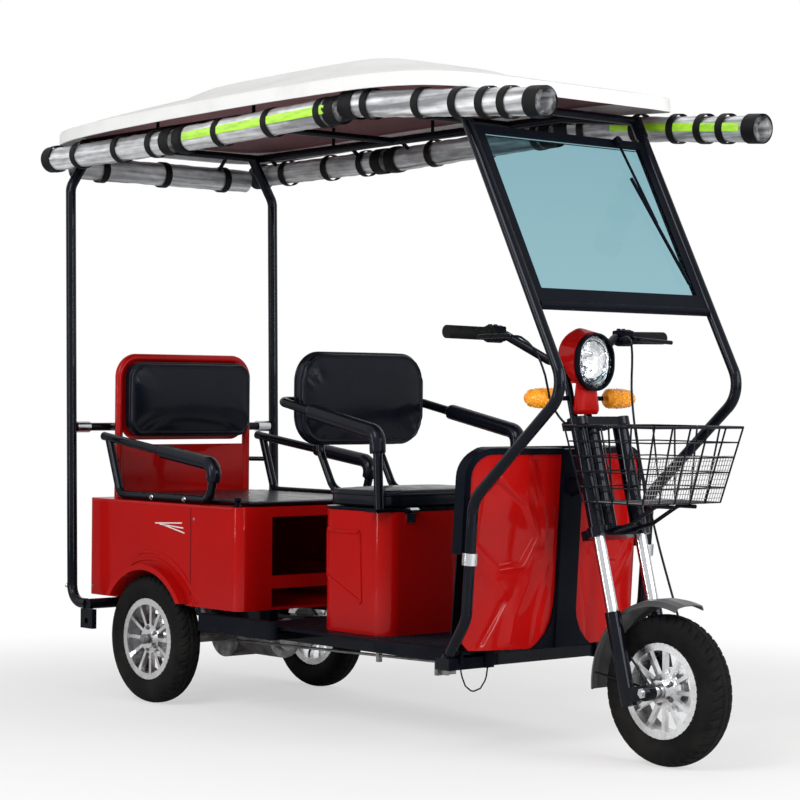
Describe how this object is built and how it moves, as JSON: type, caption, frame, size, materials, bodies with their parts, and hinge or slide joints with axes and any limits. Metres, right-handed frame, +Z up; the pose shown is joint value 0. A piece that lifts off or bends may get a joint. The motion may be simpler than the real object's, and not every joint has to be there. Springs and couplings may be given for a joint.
{
  "type": "electric passenger tricycle",
  "caption": "Roofed electric passenger tricycle with steered front wheel, driver and rear seats, wire basket, raked screen and rolled side curtains.",
  "frame": {"origin": "on the ground below the middle of the part's box", "axes": "+X forward, +Y to the rider's left, +Z up"},
  "size_m": [2.35, 0.872, 1.8189],
  "materials": {
    "frame_black": "gloss black enamel",
    "body_red": "metallic red lacquer",
    "black_plastic": "grained black moulding",
    "steel_grey": "dark cast and rolled steel",
    "bright_metal": "bright plated",
    "cast_alloy": "machined cast alloy",
    "tyre": "black rubber",
    "roof_white": "white moulded shell",
    "lining_maroon": "maroon underside",
    "screen_glass": "tinted safety glass",
    "curtain_film": "rolled clear film",
    "seat_vinyl": "black vinyl",
    "lamp_amber": "amber lens",
    "lamp_red": "red lens",
    "lamp_clear": "clear lens",
    "grip_rubber": "black rubber",
    "guard_grey": "dark grey metallic"
  },
  "bodies": {
    "chassis": {"chassis_frame": "frame_black", "tie_down_plates": "frame_black", "head_post": "frame_black", "rear_axle": "steel_grey", "drive_motor": "steel_grey", "leaf_springs": "frame_black", "floor_pan": "black_plastic", "side_steps": "black_plastic", "brake_linkage": "steel_grey", "rear_body": "body_red", "tail_lamps": "lamp_red", "driver_base": "body_red", "battery_pack": "black_plastic", "leg_shield_wings": "body_red", "leg_shield_spine": "black_plastic", "leg_shield_inner": "black_plastic", "rear_posts": "frame_black", "front_pillars": "frame_black", "post_clamps": "bright_metal", "roof_frame": "frame_black", "roof_shell": "roof_white", "roof_lining": "lining_maroon", "windshield_frame": "black_plastic", "windshield_glass": "screen_glass", "wiper": "black_plastic", "curtain_rolls_right": "curtain_film", "curtain_rolls_left": "curtain_film", "curtain_roll_rear": "curtain_film", "rear_seat_frame": "body_red", "rear_seat_back": "seat_vinyl", "rear_seat_pad": "seat_vinyl", "rear_armrests": "frame_black", "rear_arm_pads": "seat_vinyl", "seat_hinges": "bright_metal"},
    "driver_seat": {"driver_seat_pan": "frame_black", "driver_cushion": "seat_vinyl", "driver_back": "seat_vinyl", "driver_seat_frame": "frame_black", "driver_arm_pads": "seat_vinyl"},
    "steering": {"steering_clamps": "frame_black", "fork_stanchions": "bright_metal", "fork_sliders": "frame_black", "fork_covers": "frame_black", "front_axle": "bright_metal", "handlebar": "frame_black", "grips": "grip_rubber", "brake_levers": "frame_black", "headlight_shell": "body_red", "headlight_bezel": "bright_metal", "headlight_lens": "lamp_clear", "indicators": "lamp_amber", "front_mudguard": "guard_grey", "basket": "frame_black", "basket_stay": "frame_black"},
    "front_wheel": {"front_tyre": "tyre", "front_rim": "cast_alloy"},
    "rear_wheel_right": {"rear_tyre_right": "tyre", "rear_rim_right": "cast_alloy"},
    "rear_wheel_left": {"rear_tyre_left": "tyre", "rear_rim_left": "cast_alloy"}
  },
  "joints": [
    {"name": "steering_turn", "type": "hinge", "parent": "chassis", "child": "steering", "pos_m": [0.785, 0, 0.554], "axis": [-0.2588, 0, 0.9659], "range_deg": [-30, 30]},
    {"name": "front_wheel_spin", "type": "hinge", "parent": "steering", "child": "front_wheel", "pos_m": [0.99, 0, 0.185], "axis": [0, 1, 0], "continuous": true},
    {"name": "rear_right_spin", "type": "hinge", "parent": "chassis", "child": "rear_wheel_right", "pos_m": [-0.72, -0.306, 0.185], "axis": [0, 1, 0], "continuous": true},
    {"name": "rear_left_spin", "type": "hinge", "parent": "chassis", "child": "rear_wheel_left", "pos_m": [-0.72, 0.306, 0.185], "axis": [0, 1, 0], "continuous": true},
    {"name": "driver_seat_tilt", "type": "hinge", "parent": "chassis", "child": "driver_seat", "pos_m": [0.226, 0, 0.592], "axis": [0, 1, 0], "range_deg": [0, 50]}
  ]
}
